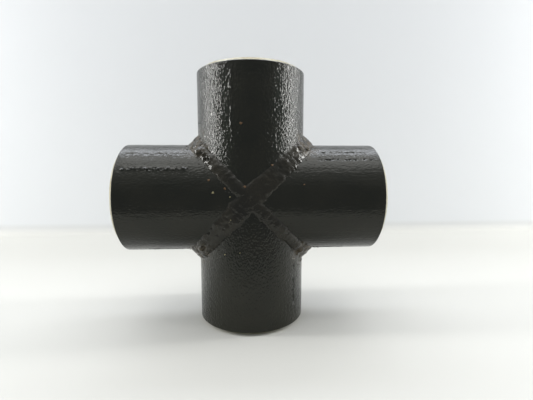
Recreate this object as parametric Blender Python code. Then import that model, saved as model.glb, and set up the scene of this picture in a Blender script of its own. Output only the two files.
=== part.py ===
"""Fabricated four-way pipe cross: four equal pipe stubs, mitred to a point and butt welded where they meet.

Frame: origin where the four bores' centrelines cross, +Z up along the top stub, +X along the right stub, and -Y
towards the front, where the four mitred points meet in a crown. Metres.
"""

import math

import bmesh
import bpy
from mathutils import Matrix, Vector

# Pipe: nominal 1 1/2 inch, standard wall.
PIPE_OUTSIDE_DIAMETER = 0.04826
PIPE_WALL = 0.00368
CENTRE_TO_END = 0.05715

# Butt-weld preparation on the four open ends.
END_BEVEL_ANGLE = math.radians(37.5)
END_LAND = 0.0016

# Weld preparation along the mitres.
ROOT_OPENING = 0.0016
ROOT_FACE = 0.0010
GROOVE_HALF_ANGLE = math.radians(30)

# Weld runs. Widths are half-widths, measured across the run on the pipe's surface.
ROOT_PENETRATION = 0.0010
ROOT_HALF_WIDTH = 0.0018
ROOT_TOP_BELOW_SURFACE = 0.0004
CAP_HALF_WIDTH = 0.0038
CAP_HEIGHT = 0.0011
CROTCH_HALF_WIDTH = 0.0050
CROTCH_HEIGHT = 0.0006
CROTCH_SPREAD = math.radians(30)

# Air left between solids that touch on the real fitting.
FIT_GAP = 0.0003

# How finely the curves are drawn.
STUB_SEGMENTS = 64
RUN_STEP = math.radians(6)
CROWN_POINTS = 4

OUTER_RADIUS = PIPE_OUTSIDE_DIAMETER / 2
INNER_RADIUS = OUTER_RADIUS - PIPE_WALL
FRONT = -1
BACK = 1

RIGHT, LEFT = Vector((1, 0, 0)), Vector((-1, 0, 0))
UP, DOWN = Vector((0, 0, 1)), Vector((0, 0, -1))
DEPTH = Vector((0, 1, 0))

# Each seam lies on the mitre plane between two stubs. The order of the pair keeps the runs of one diagonal turned
# the same way, so that a run can pass from one seam to the opposite one.
SEAMS = {
    "top_right": (RIGHT, UP),
    "bottom_left": (DOWN, LEFT),
    "top_left": (UP, LEFT),
    "bottom_right": (RIGHT, DOWN),
}


def clear_scene():
    for obj in list(bpy.data.objects):
        bpy.data.objects.remove(obj, do_unlink=True)


def material(name, colour, roughness, metallic):
    made = bpy.data.materials.new(name)
    made.use_nodes = True
    shader = made.node_tree.nodes["Principled BSDF"]
    shader.inputs["Base Color"].default_value = (*colour, 1)
    shader.inputs["Roughness"].default_value = roughness
    shader.inputs["Metallic"].default_value = metallic
    return made


def object_from(bm, name, finish, parent):
    """The bmesh as a named object with smooth sides and sharp edges, under the fitting's empty."""
    bmesh.ops.recalc_face_normals(bm, faces=bm.faces)
    mesh = bpy.data.meshes.new(name)
    bm.to_mesh(mesh)
    bm.free()
    mesh.shade_smooth()
    mesh.set_sharp_from_angle(angle=math.radians(25))
    mesh.materials.append(finish)
    obj = bpy.data.objects.new(name, mesh)
    obj.parent = parent
    bpy.context.scene.collection.objects.link(obj)
    return obj


def closed_loop(bm, points):
    """The edges of one closed polygon through the points."""
    corners = [bm.verts.new(point) for point in points]
    return [bm.edges.new((corners[i - 1], corner)) for i, corner in enumerate(corners)]


def groove_half_width(radius):
    """Half the opening between two mitred stubs at this radius, square to the mitre plane."""
    above_root_face = max(0.0, radius - INNER_RADIUS - ROOT_FACE)
    return ROOT_OPENING / 2 + above_root_face * math.tan(GROOVE_HALF_ANGLE)


def along_stub(width):
    """A width square to the mitre plane, as a length along a stub, whose axis meets that plane at 45 degrees."""
    return width * math.sqrt(2)


def stub_ring(radius, mitred_offset=None, height=None):
    """A ring round the stub's own +Z axis: parallel to its mitre at an offset along the axis, or flat at a height."""
    points = []
    for i in range(STUB_SEGMENTS):
        turn = math.tau * i / STUB_SEGMENTS
        x = radius * math.cos(turn)
        z = height if mitred_offset is None else abs(x) + mitred_offset
        points.append(Vector((x, radius * math.sin(turn), z)))
    return points


def pipe_stub(name, tilt, finish, parent):
    """A stub with a double mitre at the crown and a bevelled open end, turned about +Y from pointing up."""
    nose = along_stub(groove_half_width(INNER_RADIUS))
    groove_edge = along_stub(groove_half_width(OUTER_RADIUS))
    bevel_height = (PIPE_WALL - END_LAND) * math.tan(END_BEVEL_ANGLE)
    bm = bmesh.new()
    loops = [
        closed_loop(bm, stub_ring(INNER_RADIUS, mitred_offset=nose)),
        closed_loop(bm, stub_ring(INNER_RADIUS + ROOT_FACE, mitred_offset=nose)),
        closed_loop(bm, stub_ring(OUTER_RADIUS, mitred_offset=groove_edge)),
        closed_loop(bm, stub_ring(OUTER_RADIUS, height=CENTRE_TO_END - bevel_height)),
        closed_loop(bm, stub_ring(INNER_RADIUS + END_LAND, height=CENTRE_TO_END)),
        closed_loop(bm, stub_ring(INNER_RADIUS, height=CENTRE_TO_END)),
    ]
    for i, loop in enumerate(loops):
        bmesh.ops.bridge_loops(bm, edges=loops[i - 1] + loop)
    stub = object_from(bm, name, finish, parent)
    stub.rotation_euler.y = tilt
    return stub


def groove_point(seam, turn, radius, offset, side):
    """A point at this radius and turn from the crotch, moved along one of the seam's two stubs."""
    both = seam[0] + seam[1]
    centre = radius * math.cos(turn) * both + radius * math.sin(turn) * DEPTH
    return centre + offset * seam[side]


def surface_point(seam, turn, radius, width, side):
    """A point on a stub's round surface at this radius, a width away from the seam and square to it."""
    slope = math.hypot(1, math.sin(turn))
    wrapped = turn + width * math.sin(turn) / (slope * radius)
    along = radius * math.cos(turn) + width / slope
    return along * seam[side] + radius * (math.cos(wrapped) * seam[1 - side] + math.sin(wrapped) * DEPTH)


def root_section(seam, turn):
    """Section of a root run: a flat bead inside the bore, a neck between the root faces and the filled groove."""
    clearance = along_stub(FIT_GAP / math.cos(GROOVE_HALF_ANGLE))
    inside = INNER_RADIUS - FIT_GAP
    top = OUTER_RADIUS - ROOT_TOP_BELOW_SURFACE
    flank = [
        (inside, along_stub(ROOT_HALF_WIDTH)),
        (inside, along_stub(groove_half_width(INNER_RADIUS)) - clearance),
        (INNER_RADIUS + ROOT_FACE, along_stub(groove_half_width(INNER_RADIUS)) - clearance),
        (top, along_stub(groove_half_width(top)) - clearance),
    ]
    first = [groove_point(seam, turn, radius, offset, 0) for radius, offset in flank]
    second = [groove_point(seam, turn, radius, offset, 1) for radius, offset in reversed(flank)]
    crown = groove_point(seam, turn, inside - ROOT_PENETRATION, 0, 0)
    return first + [groove_point(seam, turn, top, 0, 0)] + second + [crown]


def cap_section(seam, turn, half_width, height):
    """Section of a run that lies on both stubs: it follows their surfaces below and is crowned above."""
    seat = OUTER_RADIUS + FIT_GAP
    below = [surface_point(seam, turn, seat, half_width * share, 0) for share in (1, 0.5, 0)]
    below += [surface_point(seam, turn, seat, half_width * share, 1) for share in (0.5, 1)]
    outwards = (math.cos(turn) * (seam[0] + seam[1]) + 2 * math.sin(turn) * DEPTH).normalized()
    crown = []
    for i in range(1, CROWN_POINTS + 1):
        share = i / (CROWN_POINTS + 1)
        crown.append(below[-1].lerp(below[0], share) + outwards * height * 4 * share * (1 - share))
    return below + crown


def turns_between(start, end):
    """Evenly spaced turns from start to end, about RUN_STEP apart."""
    steps = max(2, round(abs(end - start) / RUN_STEP))
    return [start + (end - start) * i / steps for i in range(steps + 1)]


def weld_run(name, sections, finish, parent):
    """A solid run lofted through closed sections, with flat ends."""
    bm = bmesh.new()
    loops = [closed_loop(bm, section) for section in sections]
    for before, after in zip(loops, loops[1:]):
        bmesh.ops.bridge_loops(bm, edges=before + after)
    bmesh.ops.holes_fill(bm, edges=loops[0], sides=0)
    bmesh.ops.holes_fill(bm, edges=loops[-1], sides=0)
    return object_from(bm, name, finish, parent)


def whole_and_half_runs(layer, section, first_turn, last_turn, crown_turn, finish, parent):
    """On each face of the fitting: a run that rises through the crown, and two that stop short of it."""
    for face, side in (("front", FRONT), ("back", BACK)):
        rising = [section(SEAMS["bottom_left"], side * turn) for turn in turns_between(first_turn, crown_turn)]
        rising += [section(SEAMS["top_right"], side * turn) for turn in turns_between(crown_turn, first_turn)]
        weld_run(f"{layer}_{face}_rising", rising, finish, parent)
        for seam in ("top_left", "bottom_right"):
            falling = [section(SEAMS[seam], side * turn) for turn in turns_between(first_turn, last_turn)]
            weld_run(f"{layer}_{face}_{seam}", falling, finish, parent)


def cap_run_section(seam, turn):
    return cap_section(seam, turn, CAP_HALF_WIDTH, CAP_HEIGHT)


def crotch_section(seam, turn):
    """The crotch run is widest in the crotch and narrows to the cap runs' width at its ends."""
    share = math.cos(math.pi / 2 * turn / CROTCH_SPREAD)
    half_width = CAP_HALF_WIDTH + (CROTCH_HALF_WIDTH - CAP_HALF_WIDTH) * share
    return cap_section(seam, turn, half_width, CROTCH_HEIGHT)


def root_runs(finish, parent):
    """Root runs meet in the crotches, and the falling ones stop beside the rising one at the crown."""
    inside = INNER_RADIUS - FIT_GAP
    top = OUTER_RADIUS - ROOT_TOP_BELOW_SURFACE
    first_turn = FIT_GAP / (inside - ROOT_PENETRATION)
    closest = max((ROOT_HALF_WIDTH + FIT_GAP) / inside, (groove_half_width(top) + FIT_GAP) / top)
    last_turn = math.acos(closest / math.sqrt(2))
    whole_and_half_runs("root_run", root_section, first_turn, last_turn, math.pi / 2, finish, parent)


def cap_runs(finish, parent):
    """Cap runs start beside the crotch runs, and the falling ones stop beside the rising one at the crown."""
    first_turn = CROTCH_SPREAD + 1.5 * FIT_GAP / OUTER_RADIUS
    last_turn = math.acos((CAP_HALF_WIDTH + 1.5 * FIT_GAP) / (math.sqrt(2) * OUTER_RADIUS))
    crown_turn = (math.pi - RUN_STEP) / 2
    whole_and_half_runs("cap_run", cap_run_section, first_turn, last_turn, crown_turn, finish, parent)


def crotch_runs(finish, parent):
    for seam_name, seam in SEAMS.items():
        sections = [crotch_section(seam, turn) for turn in turns_between(-CROTCH_SPREAD, CROTCH_SPREAD)]
        weld_run(f"crotch_weld_{seam_name}", sections, finish, parent)


def main():
    clear_scene()
    fitting = bpy.data.objects.new("fitting", None)
    bpy.context.scene.collection.objects.link(fitting)
    painted_pipe = material("painted_pipe", (0.012, 0.012, 0.011), 0.42, 0.0)
    painted_weld = material("painted_weld", (0.016, 0.015, 0.013), 0.5, 0.0)
    bare_weld = material("bare_weld", (0.16, 0.13, 0.11), 0.6, 0.8)
    tilts = {"top": 0, "right": math.pi / 2, "bottom": math.pi, "left": -math.pi / 2}
    for name, tilt in tilts.items():
        pipe_stub(f"{name}_stub", tilt, painted_pipe, fitting)
    root_runs(bare_weld, fitting)
    cap_runs(painted_weld, fitting)
    crotch_runs(painted_weld, fitting)


main()
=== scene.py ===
"""Looks of a fabricated pipe cross: four mitred stubs of black painted steel pipe, joined by rippled
stick-weld runs.

Metres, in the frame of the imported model: +Z up the top stub, +X along the right stub, -Y towards the front.
"""

import math
import random

import bmesh
import bpy
from mathutils import Matrix, Vector


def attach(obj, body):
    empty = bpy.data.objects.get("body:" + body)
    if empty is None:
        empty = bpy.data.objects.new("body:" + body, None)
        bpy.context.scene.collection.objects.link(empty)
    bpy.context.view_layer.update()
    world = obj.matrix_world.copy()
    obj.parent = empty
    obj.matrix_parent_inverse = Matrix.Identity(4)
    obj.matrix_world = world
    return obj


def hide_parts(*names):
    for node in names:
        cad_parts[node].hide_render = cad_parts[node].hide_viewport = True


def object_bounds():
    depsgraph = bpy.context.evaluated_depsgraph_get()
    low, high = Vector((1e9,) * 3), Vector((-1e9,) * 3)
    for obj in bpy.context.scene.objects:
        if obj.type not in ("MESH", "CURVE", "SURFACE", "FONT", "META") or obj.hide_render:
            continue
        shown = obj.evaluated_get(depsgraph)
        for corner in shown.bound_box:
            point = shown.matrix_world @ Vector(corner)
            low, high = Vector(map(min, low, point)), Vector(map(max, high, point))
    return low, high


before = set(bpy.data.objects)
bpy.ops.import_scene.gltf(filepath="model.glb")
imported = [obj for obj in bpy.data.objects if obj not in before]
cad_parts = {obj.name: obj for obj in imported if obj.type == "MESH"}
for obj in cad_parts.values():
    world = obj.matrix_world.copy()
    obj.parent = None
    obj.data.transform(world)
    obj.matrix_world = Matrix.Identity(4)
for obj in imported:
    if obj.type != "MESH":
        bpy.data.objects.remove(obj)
cad_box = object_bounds()

MM = 0.001
RIGHT, LEFT = Vector((1, 0, 0)), Vector((-1, 0, 0))
UP, DOWN = Vector((0, 0, 1)), Vector((0, 0, -1))
DEPTH = Vector((0, 1, 0))
SEAMS = {
    "top_right": (RIGHT, UP),
    "bottom_left": (DOWN, LEFT),
    "top_left": (UP, LEFT),
    "bottom_right": (RIGHT, DOWN),
}
FACES = {"front": -1, "back": 1}

# The sizes of a stub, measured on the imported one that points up.
stub_points = [vertex.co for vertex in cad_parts["top_stub"].data.vertices]
stub_radii = [point.xy.length for point in stub_points]
HAIR = 0.01 * MM  # Two places closer than this are the same place.
OUTER_RADIUS = max(stub_radii)
BORE_RADIUS = min(stub_radii)
CENTRE_TO_END = max(point.z for point in stub_points)
LAND_RADIUS = max(r for r, point in zip(stub_radii, stub_points) if point.z > CENTRE_TO_END - HAIR)
SHOULDER = max(point.z for r, point in zip(stub_radii, stub_points) if r > OUTER_RADIUS - HAIR)
MITRE_GAP = 0.2 * MM
RIM_FADE = 2 * MM
LOWEST = cad_box[0].z

# The paint lies on the pipe in a coat this thick, so it's the paint's radius that shows.
PAINT_COAT = 0.25 * MM
PAINTED_RADIUS = OUTER_RADIUS + PAINT_COAT

# How many points a stub's outside has round it and along it, and how far apart those of a weld run are.
STUB_COLUMNS = 320
STUB_ROWS = 110
RUN_GRAIN = 0.26 * MM

# The waves of the painted pipe, coarse to fine: how wide and how high.
PAINT_WAVES = ((9 * MM, 0.12 * MM), (2.2 * MM, 0.06 * MM), (1.1 * MM, 0.03 * MM))
# The lumps of a weld's skin: how wide, and their height as a share of its roughness.
SKIN_LUMPS = ((4 * MM, 2.4), (2 * MM, 1.4), (0.9 * MM, 0.3))
SKIN_ROUGHNESS = 0.18 * MM


# ---------------------------------------------------------------- modelling


def deselect():
    if bpy.context.mode != "OBJECT":
        bpy.ops.object.mode_set(mode="OBJECT")
    bpy.ops.object.select_all(action="DESELECT")


def only(piece):
    deselect()
    piece.select_set(True)
    bpy.context.view_layer.objects.active = piece


def pick(piece, test, kind="verts"):
    """In edit mode, selects the vertices, edges or faces that pass the test, and nothing else."""
    bpy.ops.mesh.select_all(action="DESELECT")
    bpy.context.tool_settings.mesh_select_mode = [kind == "verts", kind == "edges", kind == "faces"]
    shape = bmesh.from_edit_mesh(piece.data)
    for part in getattr(shape, kind):
        if test(part):
            part.select_set(True)
    shape.select_flush_mode()
    bmesh.update_edit_mesh(piece.data)


def modify(piece, kind, **settings):
    """Adds a modifier and applies it."""
    only(piece)
    modifier = piece.modifiers.new(kind.lower(), kind)
    for name, value in settings.items():
        setattr(modifier, name, value)
    bpy.ops.object.modifier_apply(modifier=modifier.name)


def clouds(name, size, depth=2):
    """A soft noise texture for Displace, with lumps about this size."""
    texture = bpy.data.textures.new(name, "CLOUDS")
    texture.noise_scale = size
    texture.noise_depth = depth
    return texture


def finished(piece, name, body, nodes, materials):
    """Names a piece, gives it its finish and ties it to the frame."""
    piece.name = name
    piece.data.name = name
    for material in materials:
        piece.data.materials.append(material)
    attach(piece, body)
    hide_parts(*nodes)
    return piece


# ---------------------------------------------------------------- pipe stubs


def radius_of(vertex):
    return vertex.co.xy.length


def stub_blank(name):
    """A stub that points up: bevelled end, land, bore and a double mitre, as one closed shell."""
    deselect()
    bpy.ops.mesh.primitive_cylinder_add(
        vertices=STUB_COLUMNS,
        radius=PAINTED_RADIUS,
        depth=SHOULDER,
        end_fill_type="NOTHING",
        location=(0, 0, SHOULDER / 2),
    )
    stub = bpy.context.object
    stub.name = name
    bpy.ops.object.transform_apply(location=True)
    bpy.ops.object.mode_set(mode="EDIT")
    pick(stub, lambda vertex: vertex.co.z > SHOULDER - HAIR)
    rings = (
        (CENTRE_TO_END - SHOULDER, LAND_RADIUS / PAINTED_RADIUS),
        (0, BORE_RADIUS / LAND_RADIUS),
        (-CENTRE_TO_END, 1),
    )
    for rise, growth in rings:
        bpy.ops.mesh.extrude_edges_move(TRANSFORM_OT_translate={"value": (0, 0, rise)})
        bpy.ops.transform.resize(value=(growth, growth, 1), center_override=(0, 0, 0))
    for side in (-1, 1):
        bpy.ops.mesh.select_all(action="SELECT")
        bpy.ops.mesh.bisect(
            plane_co=(0, 0, MITRE_GAP),
            plane_no=(side, 0, 1),
            clear_inner=True,
            threshold=1e-6,
        )
    pick(stub, lambda edge: edge.is_boundary, "edges")
    bpy.ops.mesh.bridge_edge_loops()
    pick(stub, is_outer_length, "edges")
    bpy.ops.mesh.subdivide(number_cuts=STUB_ROWS)
    bpy.ops.mesh.select_all(action="SELECT")
    bpy.ops.mesh.normals_make_consistent(inside=False)
    bpy.ops.object.mode_set(mode="OBJECT")
    return stub


def is_outer_length(edge):
    """True for an edge that runs the length of the stub's outside."""
    outside = all(radius_of(vertex) > PAINTED_RADIUS - HAIR for vertex in edge.verts)
    flat_step = edge.verts[0].co.xy - edge.verts[1].co.xy
    return outside and flat_step.length < HAIR


def paint_slots(stub):
    """Faces of the outside keep slot 0, the bevel and the land get 1, and the bore gets 2."""
    for face in stub.data.polygons:
        if face.center.z > SHOULDER:
            face.material_index = 1
        elif face.center.xy.length < OUTER_RADIUS - 0.3 * MM:
            face.material_index = 2


def outside_group(stub):
    """A vertex group of the outside, that fades out at the shoulder so that the rim stays round."""
    group = stub.vertex_groups.new(name="outside")
    for vertex in stub.data.vertices:
        if radius_of(vertex) > PAINTED_RADIUS - HAIR:
            fade = min(1, (SHOULDER - vertex.co.z) / RIM_FADE)
            group.add([vertex.index], fade, "REPLACE")


def streaks(stub, upright, lines):
    """Ridges and pit lines left by the mill's rolls along the front of a stub, in mm: place across, start,
    stop, half width and height, which is below zero for pits."""
    for across, start, stop, half_width, height in lines:
        group = stub.vertex_groups.new(name="streak")
        for vertex in stub.data.vertices:
            x, y, z = vertex.co / MM
            aside, along = (x, abs(z)) if upright else (z, abs(x))
            nearness = 1 - abs(aside - across) / half_width
            if y < 0 < nearness and start < along < stop:
                group.add([vertex.index], nearness, "REPLACE")
        modify(
            stub,
            "DISPLACE",
            texture=clouds("rolling marks", 0.8 * MM),
            vertex_group=group.name,
            # Clouds peak about a third above their mid level, so this strength reaches the height.
            strength=3 * height * MM,
            mid_level=0.42 if height < 0 else 0.35,
        )


def pipe_stub(name, node, turn, lines, materials):
    """A stub in its place, with the waves, pits and drawing marks of painted mill pipe."""
    stub = stub_blank(name)
    paint_slots(stub)
    outside_group(stub)
    stub.rotation_euler.y = turn
    only(stub)
    bpy.ops.object.transform_apply(rotation=True)
    upright = abs(math.sin(turn)) < 0.5
    streaks(stub, upright, lines)
    for lumps, strength in PAINT_WAVES:
        modify(
            stub,
            "DISPLACE",
            texture=clouds("paint waves", lumps),
            vertex_group="outside",
            strength=strength,
            mid_level=0.5,
        )
    only(stub)
    bpy.ops.object.shade_smooth_by_angle(angle=math.radians(25))
    return finished(stub, name, "root", [node], materials)


# ---------------------------------------------------------------- weld runs


def surface_point(seam, turn, radius, width, side):
    """A point on a stub's round surface, a width away from the seam and square to it."""
    slope = math.hypot(1, math.sin(turn))
    wrapped = turn + width * math.sin(turn) / (slope * radius)
    along = radius * math.cos(turn) + width / slope
    return along * seam[side] + radius * (math.cos(wrapped) * seam[1 - side] + math.sin(wrapped) * DEPTH)


def seam_place(seam, turn, half_width):
    """Where a run lies on a seam: the middle between its toes, its direction, the way out, half its width
    and how far the seam's corner lies below the middle."""
    both = seam[0] + seam[1]
    corner = PAINTED_RADIUS * (math.cos(turn) * both + math.sin(turn) * DEPTH)
    along = (math.cos(turn) * DEPTH - math.sin(turn) * both).normalized()
    out = (math.cos(turn) * both + 2 * math.sin(turn) * DEPTH).normalized()
    toes = [surface_point(seam, turn, PAINTED_RADIUS, half_width, side) for side in (0, 1)]
    middle = (toes[0] + toes[1]) / 2
    return middle, along, out, (toes[0] - toes[1]).length / 2, (middle - corner).dot(out)


def add_puddle(middle, along, out, size, tilt, segments=20):
    """In edit mode, adds one frozen puddle: an ellipsoid whose axes lie across, along and out of the run."""
    across = along.cross(out)
    axes = Matrix((across, along, out)).transposed() @ Matrix.Rotation(tilt, 3, "X")
    bpy.ops.mesh.primitive_uv_sphere_add(
        segments=segments,
        ring_count=segments // 2,
        radius=1,
        location=middle,
        rotation=axes.to_euler(),
        scale=size,
    )


def empty_mesh(name):
    deselect()
    bpy.ops.object.add(type="MESH", location=(0, 0, 0))
    bpy.context.object.name = name
    bpy.ops.object.mode_set(mode="EDIT")
    return bpy.context.object


PUDDLE_LENGTH = 2.3  # Half a puddle's length, in pitches, so each covers most of the one before.


def puddle_on_seam(seam, turn, half_width, height, pitch, chance, tilt, offset=0, shift=0):
    """One puddle of a cap run, sunk so that its toes meet the pipe at a shallow angle. It lies the offset to
    the upper left of the seam, and the shift further where the run nears the crown."""
    middle, along, out, half, depth = seam_place(seam, turn, half_width * chance.uniform(0.92, 1.1))
    across = along.cross(out)
    if across.dot(2 * UP + LEFT) < 0:
        across = -across
    near_crown = max(0, (abs(math.sin(turn)) - 0.4) / 0.6)
    middle += (offset + shift * near_crown) * across
    rise = height * chance.uniform(0.84, 1)
    # Deep enough for shallow toes, and for its underside to reach past the seam's corner.
    sink = max(2 * rise, (depth - rise + 0.3 * MM) / 2)
    thickness = rise + sink
    reach = half / math.sqrt(1 - (sink / thickness) ** 2)
    wander = chance.uniform(-0.06, 0.06) * half * along.cross(out)
    add_puddle(middle - sink * out + wander, along, out, (reach, PUDDLE_LENGTH * pitch, thickness), tilt)


def pits(run, places, depth=1.2 * MM, reach=1.1 * MM):
    """Gas holes: the skin pushed in round the point nearest to each place."""
    bpy.ops.object.mode_set(mode="EDIT")
    for place in places:
        nearest = min(run.data.vertices, key=lambda vertex: (vertex.co - place).length_squared)
        inward = -depth * nearest.normal
        pick(run, lambda vertex, index=nearest.index: vertex.index == index)
        bpy.ops.transform.translate(
            value=inward,
            use_proportional_edit=True,
            proportional_edit_falloff="SMOOTH",
            proportional_size=reach,
        )
    bpy.ops.object.mode_set(mode="OBJECT")


def fuse(run, roughness=SKIN_ROUGHNESS):
    """Melts the puddles into one body, softens the creases and roughens the skin."""
    bpy.ops.object.mode_set(mode="OBJECT")
    modify(run, "REMESH", mode="VOXEL", voxel_size=RUN_GRAIN)
    modify(run, "SMOOTH", factor=0.5, iterations=4)
    for lumps, share in SKIN_LUMPS:
        skin = clouds("weld skin", lumps)
        modify(run, "DISPLACE", texture=skin, strength=share * roughness, mid_level=0.5)
    only(run)
    bpy.ops.object.shade_smooth()


def turns_along(first, last, pitch, chance):
    """Turns from first to last, a pitch apart on the seam, none quite regular."""
    # The seam is half an ellipse, about 1.2 times as long as half a circle of the pipe's radius.
    count = max(1, round(abs(last - first) * OUTER_RADIUS * 1.2 / pitch))
    step = (last - first) / count
    return [first + step * (i + chance.uniform(-0.12, 0.12)) for i in range(count + 1)]


CAP_WIDTH = 4.1 * MM
CAP_HEIGHT = 0.95 * MM
CAP_PITCH = 1.9 * MM
CAP_START = math.radians(20)
CAP_LEAN = math.radians(4)
# The half width of each bead and how far it lies from the seam: two side by side, and one alone.
RISING_BEADS = ((3.1 * MM, -1.7 * MM), (3.1 * MM, 1.7 * MM))
RISING_SHIFT = 1.4 * MM
FALLING_BEADS = ((2.9 * MM, 0),)
# The gas holes, in mm: one in each rising run, and a nest in the front's upper left run.
RISING_HOLES = {"front": ((-17.8, -20.5, -12.7),), "back": ((6, 24, 7),)}
FALLING_HOLES = {
    ("front", "top_left"): (
        (-20.4, -15.6, 19.4),
        (-19.4, -16.6, 18.8),
        (-18.5, -17.0, 18.4),
        (-18.4, -17.4, 17.2),
        (-17.2, -17.9, 17),
    )
}


def cap_run(name, node, legs, beads, shift, holes, materials, seed):
    """A cap run along one or more legs, each a seam with its first and last turn, as one or two beads side by
    side. The holes are in mm."""
    chance = random.Random(seed)
    run = empty_mesh(name)
    for seam, first, last in legs:
        lean = CAP_LEAN if last > first else -CAP_LEAN
        for half_width, offset in beads:
            for turn in turns_along(first, last, CAP_PITCH, chance):
                puddle_on_seam(seam, turn, half_width, CAP_HEIGHT, CAP_PITCH, chance, lean, offset, shift)
    fuse(run)
    pits(run, [MM * Vector(hole) for hole in holes])
    return finished(run, name, "root", [node], materials)


def cap_runs(materials):
    crown = math.pi / 2
    beside = {"top_left": math.radians(79), "bottom_right": math.radians(83)}
    for seed, (face, side) in enumerate(FACES.items()):
        rising = [
            (SEAMS["bottom_left"], side * CAP_START, side * crown),
            (SEAMS["top_right"], side * crown, side * CAP_START),
        ]
        cap_run(
            f"{face}_rising_cap_weld",
            f"cap_run_{face}_rising",
            rising,
            RISING_BEADS,
            RISING_SHIFT,
            RISING_HOLES[face],
            materials,
            seed=11 + seed,
        )
        for other, seam in enumerate(("top_left", "bottom_right")):
            cap_run(
                f"{face}_{seam}_cap_weld",
                f"cap_run_{face}_{seam}",
                [(SEAMS[seam], side * CAP_START, side * beside[seam])],
                FALLING_BEADS,
                0,
                FALLING_HOLES.get((face, seam), ()),
                materials,
                seed=21 + 2 * seed + other,
            )


CROTCH_WIDTH = 4.2 * MM
CROTCH_HEIGHT = 0.05 * MM
CROTCH_PITCH = 2.3 * MM
CROTCH_SPREAD = math.radians(34)
CROTCH_LEAN = math.radians(9)
CROTCH_ROUGHNESS = 0.26 * MM


def crotch_weld(seam_name, lumps, holes, materials, seed):
    """The lumpy weld that turns a corner between two stubs."""
    chance = random.Random(seed)
    name = f"{seam_name}_crotch_weld"
    seam = SEAMS[seam_name]
    weld = empty_mesh(name)
    for turn in turns_along(-CROTCH_SPREAD, CROTCH_SPREAD, CROTCH_PITCH, chance):
        share = math.cos(math.pi / 2 * turn / (CROTCH_SPREAD * 1.15))
        half_width = CAP_WIDTH + (CROTCH_WIDTH - CAP_WIDTH) * share
        puddle_on_seam(seam, turn, half_width, CROTCH_HEIGHT, CROTCH_PITCH, chance, CROTCH_LEAN)
    for turn, offset, lump in lumps:
        middle, along, out, _, _ = seam_place(seam, math.radians(turn), CAP_WIDTH)
        place = middle + offset * MM * along.cross(out) - 0.5 * lump * MM * out
        add_puddle(place, along, out, (lump * MM, 1.2 * lump * MM, 1.1 * lump * MM), 0)
    fuse(weld, CROTCH_ROUGHNESS)
    pits(weld, [MM * Vector(hole) for hole in holes])
    return finished(weld, name, "root", [f"crotch_weld_{seam_name}"], materials)


ROOT_WIDTH = 1.9 * MM
ROOT_HEIGHT = 0.9 * MM
ROOT_PITCH = 1.3 * MM
ROOT_ROUGHNESS = 0.1 * MM


def root_run(name, node, legs, materials, seed):
    """The first pass, which shows inside the bore as a narrow rippled bead on the edge of the mitre."""
    chance = random.Random(seed)
    run = empty_mesh(name)
    for seam, first, last in legs:
        both = seam[0] + seam[1]
        for turn in turns_along(first, last, ROOT_PITCH, chance):
            along = (math.cos(turn) * DEPTH - math.sin(turn) * both).normalized()
            out = -(math.cos(turn) * both + 2 * math.sin(turn) * DEPTH).normalized()
            corner = BORE_RADIUS * (math.cos(turn) * both + math.sin(turn) * DEPTH)
            half_width = ROOT_WIDTH * chance.uniform(0.85, 1.1)
            size = (half_width, ROOT_PITCH, ROOT_HEIGHT * chance.uniform(0.85, 1.1))
            add_puddle(corner - 0.1 * MM * out, along, out, size, math.radians(10), segments=16)
    fuse(run, ROOT_ROUGHNESS)
    return finished(run, name, "root", [node], materials)


def root_runs(materials):
    crown = math.pi / 2
    crotch = math.radians(1)
    beside = math.radians(86)
    for seed, (face, side) in enumerate(FACES.items()):
        rising = [
            (SEAMS["bottom_left"], side * crotch, side * crown),
            (SEAMS["top_right"], side * crown, side * crotch),
        ]
        root_run(f"{face}_rising_root_weld", f"root_run_{face}_rising", rising, materials, 41 + seed)
        for other, seam in enumerate(("top_left", "bottom_right")):
            root_run(
                f"{face}_{seam}_root_weld",
                f"root_run_{face}_{seam}",
                [(SEAMS[seam], side * crotch, side * beside)],
                materials,
                seed=51 + 2 * seed + other,
            )


SPATTER_PER_SIDE = 20


def spatter(materials):
    """Beads of metal thrown from the arc, frozen on the pipe beside the seams and painted over."""
    chance = random.Random(7)
    beads = empty_mesh("weld_spatter")
    for seam in SEAMS.values():
        for face_side in FACES.values():
            for _ in range(SPATTER_PER_SIDE):
                turn = face_side * math.radians(chance.uniform(8, 88))
                width = 0.8 * CAP_WIDTH + chance.expovariate(1 / (1.6 * MM))
                place = surface_point(seam, turn, PAINTED_RADIUS, width, chance.randrange(2))
                size = chance.uniform(0.14, 0.36) * MM
                bpy.ops.mesh.primitive_uv_sphere_add(segments=9, ring_count=6, radius=size, location=place)
    bpy.ops.object.mode_set(mode="OBJECT")
    only(beads)
    bpy.ops.object.shade_smooth()
    return finished(beads, "weld_spatter", "root", [], materials)


def specks(name, places, material):
    """Small blisters and flakes that stand on the paint at the front, in mm: across, up, size and how
    far out from the paint."""
    marks = empty_mesh(name)
    reach = PAINTED_RADIUS / MM
    for x, z, size, stand in places:
        nearer = min(abs(x), abs(z))
        place = Vector((x, -math.sqrt(reach**2 - nearer**2) - stand, z)) * MM
        bpy.ops.mesh.primitive_ico_sphere_add(
            subdivisions=3,
            radius=size * MM,
            location=place,
            scale=(1, 0.55, 0.85),
        )
    bpy.ops.object.mode_set(mode="OBJECT")
    modify(marks, "DISPLACE", texture=clouds("ragged edges", 0.5 * MM), strength=0.7 * MM, mid_level=0.5)
    only(marks)
    bpy.ops.object.shade_smooth()
    return finished(marks, name, "root", [], [material])


# ---------------------------------------------------------------- materials


def colour(code):
    """A linear RGBA colour from an sRGB hex code."""
    channels = [int(code[i : i + 2], 16) / 255 for i in (1, 3, 5)]
    return (*(c / 12.92 if c <= 0.04045 else ((c + 0.055) / 1.055) ** 2.4 for c in channels), 1)


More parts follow.
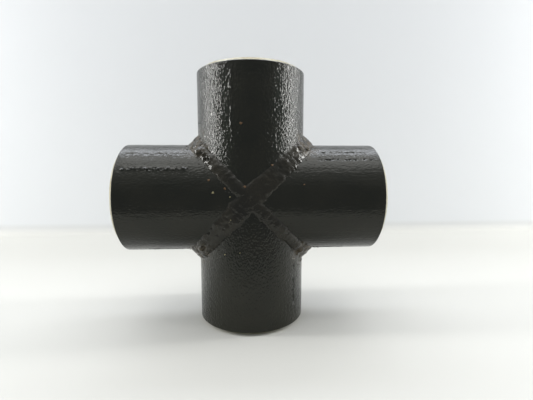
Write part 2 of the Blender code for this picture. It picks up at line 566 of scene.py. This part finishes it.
def add(tree, kind, inputs=(), **settings):
    """Adds a node with its settings, and sets or links its inputs."""
    made = tree.nodes.new(kind)
    for name, value in settings.items():
        setattr(made, name, value)
    for socket, value in dict(inputs).items():
        if isinstance(value, bpy.types.NodeSocket):
            tree.links.new(value, made.inputs[socket])
        else:
            made.inputs[socket].default_value = value
    return made


def new_material(name):
    """An empty material with its shader and the object's own coordinates."""
    material = bpy.data.materials.new(name)
    material.use_nodes = True
    tree = material.node_tree
    tree.nodes.clear()
    shader = add(tree, "ShaderNodeBsdfPrincipled")
    output = add(tree, "ShaderNodeOutputMaterial", {"Surface": shader.outputs["BSDF"]})
    output.location.x = 400
    place = add(tree, "ShaderNodeTexCoord").outputs["Object"]
    return material, tree, shader, place


def grain(tree, place, size, detail=2.0, roughness=0.5, stretch=(1, 1, 1)):
    """Noise from 0 to 1 whose lumps are about this size, in metres, and longer along a stretched axis."""
    scaled = add(
        tree,
        "ShaderNodeMapping",
        {"Vector": place, "Scale": tuple(1 / (size * share) for share in stretch)},
    )
    return add(
        tree,
        "ShaderNodeTexNoise",
        {"Vector": scaled.outputs["Vector"], "Scale": 1.0, "Detail": detail, "Roughness": roughness},
    ).outputs["Fac"]


def window(tree, value, low, high, to_low=0.0, to_high=1.0):
    """Value from low to high, spread over to_low to to_high and held there."""
    return add(
        tree,
        "ShaderNodeMapRange",
        {"Value": value, "From Min": low, "From Max": high, "To Min": to_low, "To Max": to_high},
    ).outputs["Result"]


def blend(tree, factor, first, second):
    """A mix of two colours."""
    return add(
        tree,
        "ShaderNodeMix",
        {0: factor, 6: first, 7: second},
        data_type="RGBA",
    ).outputs[2]


def combine(tree, operation, first, second):
    return add(tree, "ShaderNodeMath", {0: first, 1: second}, operation=operation).outputs[0]


def bump(tree, height, distance, strength=1.0, below=None):
    """A bump whose height of 1 stands this far out, in metres, laid over an earlier one."""
    inputs = {"Height": height, "Distance": distance, "Strength": strength}
    if below is not None:
        inputs["Normal"] = below
    return add(tree, "ShaderNodeBump", inputs).outputs["Normal"]


def near_corner(tree, place):
    """1 where two stubs meet in a corner, falling to 0 a few millimetres away."""
    parts = add(tree, "ShaderNodeSeparateXYZ", {"Vector": place}).outputs
    offsets = []
    for axis in ("X", "Z"):
        size = combine(tree, "ABSOLUTE", parts[axis], 0.0)
        offsets.append(combine(tree, "SUBTRACT", size, PAINTED_RADIUS))
    squares = [combine(tree, "MULTIPLY", offset, offset) for offset in offsets]
    distance = combine(tree, "SQRT", combine(tree, "ADD", *squares), 0.0)
    return window(tree, distance, 3 * MM, 8 * MM, 1.0, 0.0)


def black_paint(name, stretch, rough_skin, rust_share, dullest, dark, light):
    """Black alkyd enamel, brushed on thick over mill scale: a semi-gloss skin with the scale's grain showing
    through. Thin patches of rust stain it by the welds."""
    material, tree, shader, place = new_material(name)
    cloud = grain(tree, place, 11 * MM, detail=3)
    # In the pipe paints, the olive cast of the dark and light colours given is a painted reflection of yellow
    # light from in front; the paint's own colour is near black.
    skin = blend(tree, window(tree, cloud, 0.35, 0.65), colour(dark), colour(light))
    specks = grain(tree, place, 2.4 * MM, detail=4, roughness=0.7)
    rust = window(tree, specks, 0.74 - rust_share, 0.80 - rust_share)
    film = combine(tree, "MULTIPLY", near_corner(tree, place), window(tree, specks, 0.42, 0.62))
    rust = combine(tree, "MAXIMUM", rust, film)
    shade = blend(tree, window(tree, rust, 0, 1, 0, 0.4), skin, colour("#66553a"))
    tree.links.new(shade, shader.inputs["Base Color"])
    sheen = grain(tree, place, 1.8 * MM, detail=3)
    gloss = window(tree, sheen, 0.3, 0.7, dullest / 2, dullest)
    tree.links.new(combine(tree, "ADD", gloss, window(tree, rust, 0, 1, 0, 0.25)), shader.inputs["Roughness"])
    drawn = bump(tree, grain(tree, place, 1.4 * MM, detail=2, stretch=stretch), 0.08 * MM)
    lengthwise = tuple(min(1.7, share) for share in stretch)
    # The scale's grain is about 0.3 mm, too fine to show on the whole fitting, so it's drawn twice as coarse.
    scale = grain(tree, place, 0.62 * MM, detail=1, stretch=lengthwise)
    peel = bump(tree, scale, rough_skin, below=drawn)
    tree.links.new(peel, shader.inputs["Normal"])
    shader.inputs["IOR"].default_value = 1.42
    # The faint warm tint of the reflections is painted too, from the same yellow light.
    shader.inputs["Specular Tint"].default_value = colour("#fdfdf7")
    return material


def along_pipe(tree, place):
    """How far a point is from the crossing, along its own pipe."""
    parts = add(tree, "ShaderNodeSeparateXYZ", {"Vector": place}).outputs
    reaches = [combine(tree, "ABSOLUTE", parts[axis], 0.0) for axis in ("X", "Z")]
    return combine(tree, "MAXIMUM", *reaches)


def bare_bevel():
    """Carbon steel turned to a welding bevel: fine tool marks, pale grey gone creamy under a first film of
    rust, with the paint slopped over its outer edge."""
    material, tree, shader, place = new_material("turned_carbon_steel")
    film = grain(tree, place, 5 * MM, detail=5, roughness=0.6)
    rusty = blend(tree, window(tree, film, 0.35, 0.7), colour("#a8a58f"), colour("#857a56"))
    spots = window(tree, grain(tree, place, 1.6 * MM, detail=4, roughness=0.65), 0.6, 0.68)
    spotted = blend(tree, window(tree, spots, 0, 1, 0, 0.7), rusty, colour("#54402a"))
    reach = along_pipe(tree, place)
    ragged = combine(tree, "MULTIPLY", grain(tree, place, 2 * MM, detail=3), 0.9 * MM)
    slop = window(tree, combine(tree, "SUBTRACT", reach, ragged), SHOULDER - 0.35 * MM, SHOULDER, 1.0, 0.0)
    tree.links.new(blend(tree, slop, spotted, colour("#1b1a14")), shader.inputs["Base Color"])
    tree.links.new(window(tree, slop, 0, 1, 0.45, 0.0), shader.inputs["Metallic"])
    tree.links.new(window(tree, film, 0.3, 0.7, 0.34, 0.55), shader.inputs["Roughness"])
    # The tool moved 0.25 mm a turn, so the marks are rings that far apart.
    wave = combine(tree, "SINE", combine(tree, "MULTIPLY", reach, math.tau / (0.25 * MM)), 0.0)
    turned = bump(tree, wave, 0.008 * MM)
    tree.links.new(bump(tree, grain(tree, place, 0.4 * MM), 0.03 * MM, below=turned), shader.inputs["Normal"])
    return material


def bore_scale():
    """Hot-rolled carbon steel with its blue-grey mill scale, going brown in a fine bloom where the scale has
    lifted."""
    material, tree, shader, place = new_material("hot_rolled_mill_scale")
    patches = grain(tree, place, 14 * MM, detail=8, roughness=0.7)
    shade = blend(tree, window(tree, patches, 0.36, 0.68), colour("#303236"), colour("#57422f"))
    specks = window(tree, grain(tree, place, 1.2 * MM, detail=3), 0.6, 0.7)
    dusty = blend(tree, window(tree, specks, 0, 1, 0, 0.5), shade, colour("#74543a"))
    tree.links.new(dusty, shader.inputs["Base Color"])
    tree.links.new(window(tree, patches, 0.4, 0.65, 0.4, 0.75), shader.inputs["Roughness"])
    shader.inputs["Metallic"].default_value = 0.3
    pitted = bump(tree, grain(tree, place, 0.8 * MM, detail=4), 0.06 * MM)
    tree.links.new(pitted, shader.inputs["Normal"])
    return material


def bare_weld():
    """Mild-steel stick weld, chipped clean of slag and left bare: grey with heat tint and brown rust."""
    material, tree, shader, place = new_material("bare_stick_weld")
    tint = grain(tree, place, 2.5 * MM, detail=4, roughness=0.6)
    shade = blend(tree, window(tree, tint, 0.4, 0.62), colour("#6a665f"), colour("#6b442a"))
    tree.links.new(shade, shader.inputs["Base Color"])
    tree.links.new(window(tree, tint, 0.4, 0.65, 0.4, 0.8), shader.inputs["Roughness"])
    shader.inputs["Metallic"].default_value = 0.5
    tree.links.new(bump(tree, grain(tree, place, 0.5 * MM, detail=3), 0.08 * MM), shader.inputs["Normal"])
    return material


def rust_bloom():
    """Iron oxide that has broken through the paint: matt and orange-brown, darker in patches."""
    material, tree, shader, place = new_material("iron_oxide_bloom")
    shade = blend(tree, grain(tree, place, 0.4 * MM, detail=3), colour("#33261a"), colour("#80603c"))
    tree.links.new(shade, shader.inputs["Base Color"])
    tree.links.new(window(tree, grain(tree, place, 0.5 * MM), 0.3, 0.7, 0.6, 0.9), shader.inputs["Roughness"])
    tree.links.new(bump(tree, grain(tree, place, 0.3 * MM), 0.05 * MM), shader.inputs["Normal"])
    return material


def flux_crumb():
    """Crumbs of electrode flux, fused in the arc and dusted over: pale yellow-grey and half glossy."""
    material, tree, shader, place = new_material("fused_electrode_flux")
    shade = blend(tree, grain(tree, place, 0.4 * MM, detail=3), colour("#5f5a3c"), colour("#b9ad7f"))
    tree.links.new(shade, shader.inputs["Base Color"])
    tree.links.new(window(tree, grain(tree, place, 0.5 * MM), 0.3, 0.7, 0.3, 0.6), shader.inputs["Roughness"])
    tree.links.new(bump(tree, grain(tree, place, 0.3 * MM), 0.05 * MM), shader.inputs["Normal"])
    return material


def matt_paper():
    """Matt studio paper: pale and without shine, cream underfoot and a shade bluer where it stands up."""
    material, tree, shader, place = new_material("matt_studio_paper")
    fibre = window(tree, grain(tree, place, 40 * MM, detail=4), 0, 1, 0, 0.06)
    height = add(tree, "ShaderNodeSeparateXYZ", {"Vector": place}).outputs["Z"]
    upright = window(tree, height, LOWEST + 2 * MM, LOWEST + 12 * MM)
    pale = blend(tree, upright, colour("#bcbcb7"), colour("#d4d6d7"))
    tree.links.new(blend(tree, fibre, pale, colour("#c8c8c4")), shader.inputs["Base Color"])
    shader.inputs["Roughness"].default_value = 0.75
    return material


# ---------------------------------------------------------------- studio

PAPER_WIDTH = 3
PAPER_FRONT = -0.115
PAPER_WALL = 0.19
PLANE_EDGE = 0.5  # How far out the edges of a new plane are.
WALL_HEIGHT = 0.33
FOOT_RADIUS = 0.008


def sweep():
    """A sheet of pale paper that starts in front of the fitting, lies under it and curves up behind it."""
    deselect()
    bpy.ops.mesh.primitive_plane_add(size=1, location=(0, 0, LOWEST))
    bpy.ops.object.transform_apply(location=True)
    paper = bpy.context.object
    paper.name = "paper_sweep"
    bpy.ops.object.mode_set(mode="EDIT")
    bpy.ops.transform.resize(value=(PAPER_WIDTH, 1, 1))
    pick(paper, lambda vertex: vertex.co.y < 0)
    bpy.ops.transform.translate(value=(0, PAPER_FRONT + PLANE_EDGE, 0))
    pick(paper, lambda vertex: vertex.co.y > 0)
    bpy.ops.transform.translate(value=(0, PAPER_WALL - PLANE_EDGE, 0))
    pick(paper, lambda edge: all(vertex.co.y > 0 for vertex in edge.verts), "edges")
    bpy.ops.mesh.extrude_edges_move(TRANSFORM_OT_translate={"value": (0, 0.01, WALL_HEIGHT)})
    pick(paper, is_foot, "edges")
    bpy.ops.mesh.bevel(offset=FOOT_RADIUS, segments=8)
    bpy.ops.object.mode_set(mode="OBJECT")
    bpy.ops.object.shade_smooth()
    paper.data.materials.append(matt_paper())


def is_foot(edge):
    """True for the edge where the paper turns up."""
    return all(abs(vertex.co.y - PAPER_WALL) < MM and vertex.co.z < LOWEST + 10 * MM for vertex in edge.verts)


def softbox(name, place, aim, width, height, power, tint="#ffffff"):
    data = bpy.data.lights.new(name, "AREA")
    data.shape = "RECTANGLE"
    data.size, data.size_y = width, height
    data.energy = power
    data.color = colour(tint)[:3]
    lamp = bpy.data.objects.new(name, data)
    lamp.location = place
    lamp.rotation_euler = (Vector(aim) - Vector(place)).to_track_quat("-Z", "Y").to_euler()
    bpy.context.scene.collection.objects.link(lamp)


def studio():
    """Soft light from both sides, above and behind, in a pale room that gets darker towards the front."""
    sweep()
    softbox("left_softbox", (-0.75, 0.0, 0.2), (0, 0, 0), 0.08, 0.6, 5.6)
    softbox("right_softbox", (0.75, 0.05, 0.2), (0, 0, 0), 0.08, 0.6, 5.2)
    softbox("top_softbox", (0, -0.05, 0.9), (0, 0.05, 0), 1.0, 0.62, 3.9)
    softbox("back_softbox", (0, 0.42, 0.8), (0, 0, 0), 1.4, 0.16, 4.8, "#f2f6ff")
    world = bpy.data.worlds.new("pale_room")
    world.use_nodes = True
    room = world.node_tree
    direction = add(room, "ShaderNodeTexCoord").outputs["Generated"]
    ways = add(room, "ShaderNodeSeparateXYZ", {"Vector": direction}).outputs
    away = combine(room, "ADD", ways["Y"], combine(room, "MULTIPLY", ways["Z"], 0.6))
    walls = blend(room, window(room, away, -0.6, -0.05), colour("#a5a8ac"), colour("#e6e8ea"))
    room.links.new(walls, room.nodes["Background"].inputs["Color"])
    bpy.context.scene.world = world
    bpy.context.scene.view_settings.view_transform = "Standard"


def camera():
    """A wide lens close in front, a little above the fitting's middle and looking slightly down."""
    data = bpy.data.cameras.new("camera")
    data.lens = 21.53
    data.sensor_width = 36
    data.clip_start = 5 * MM
    seen_from = bpy.data.objects.new("camera", data)
    seen_from.location = (-0.94 * MM, -152.47 * MM, 14.55 * MM)
    seen_from.rotation_euler = (math.radians(83.96), 0, math.radians(-3.09))
    bpy.context.scene.collection.objects.link(seen_from)
    bpy.context.scene.camera = seen_from


def main():
    bevel, bore = bare_bevel(), bore_scale()
    # The pipe was drawn lengthwise, so the marks under the paint are stretched that way.
    # The olive cast in the pipe paints' colours is a painted reflection of yellow light from in front; the
    # enamel itself is near black.
    upright = black_paint("black_enamel_on_upright_pipe", (1, 1, 25), 0.3 * MM, 0, 0.2, "#10120a", "#181810")
    level = black_paint("black_enamel_on_level_pipe", (25, 1, 1), 0.13 * MM, 0, 0.22, "#10120a", "#181810")
    on_weld = black_paint("black_enamel_on_weld", (1, 1, 1), 0.12 * MM, 0.03, 0.26, "#16150f", "#232018")
    turns = {"top": 0, "right": math.pi / 2, "bottom": math.pi, "left": -math.pi / 2}
    # The rolling marks of each stub, as streaks takes them.
    marks = {
        "top": ((-8, 27, 53, 0.8, 0.3),),
        "right": ((17.4, 28, 54, 0.55, -0.6), (20.6, 30, 50, 0.5, -0.5), (-22.6, 28, 42, 0.6, -0.5)),
        "bottom": ((18.5, 28, 48, 0.55, -0.6),),
        "left": ((19.8, 26, 53, 0.5, -0.4), (13.5, 26, 53, 1.0, 0.6), (-22.6, 31, 46, 0.7, -0.6)),
    }
    for name, turn in turns.items():
        paint = upright if name in ("top", "bottom") else level
        pipe_stub(f"{name}_pipe_stub", f"{name}_stub", turn, marks[name], [paint, bevel, bore])
    cap_runs([on_weld])
    # Each lump on a crotch weld: its turn in degrees, its offset across and its half width in mm.
    lumps = {
        "top_right": ((-33, -1.4, 1.9), (-27, 1.6, 1.7), (33, 0.5, 1.6)),
        "bottom_left": ((-34, 0.6, 2.0), (32, -0.8, 1.6)),
        "top_left": ((-33, -1.2, 2.2), (33, 0.8, 1.7)),
        "bottom_right": ((-31, 0.4, 1.8), (34, -0.5, 1.7)),
    }
    # The gas holes of each crotch weld, in mm.
    holes = {
        "top_right": ((21, -12, 21), (23, -9.5, 22.5)),
        "bottom_left": ((-22, -10, -22),),
        "top_left": ((-21.5, -13, 20),),
        "bottom_right": (),
    }
    for seed, seam_name in enumerate(SEAMS):
        crotch_weld(seam_name, lumps[seam_name], holes[seam_name], [on_weld], 31 + seed)
    root_runs([bare_weld()])
    spatter([on_weld])
    # Where the specks that can be told apart are, as specks takes them.
    rusty = (
        (-17.2, 9, 0.45, 0),
        (-18.6, 16.4, 0.5, -0.3),
        (-10.7, 5.5, 0.5, 0),
        (-2.7, 6.3, 0.6, 0.3),
        (8.3, 15, 0.6, 0),
        (-4, 31.5, 0.6, -0.15),
        (21.5, 7, 0.5, -0.1),
    )
    specks("rust_specks", rusty, rust_bloom())
    crumbs = (
        (-15.5, 4, 0.45, 0),
        (-8.7, 2.3, 0.3, 0),
        (-8.4, -7, 0.4, 0.95),
        (-7.6, -7.6, 0.35, 0.95),
        (-9.2, -7.9, 0.3, 0.95),
        (-8, -8.5, 0.3, 0.95),
        (-5, -21, 0.25, 0),
        (-11.3, -22.3, 0.25, 0),
    )
    specks("flux_crumbs", crumbs, flux_crumb())
    studio()
    camera()


main()
deselect()
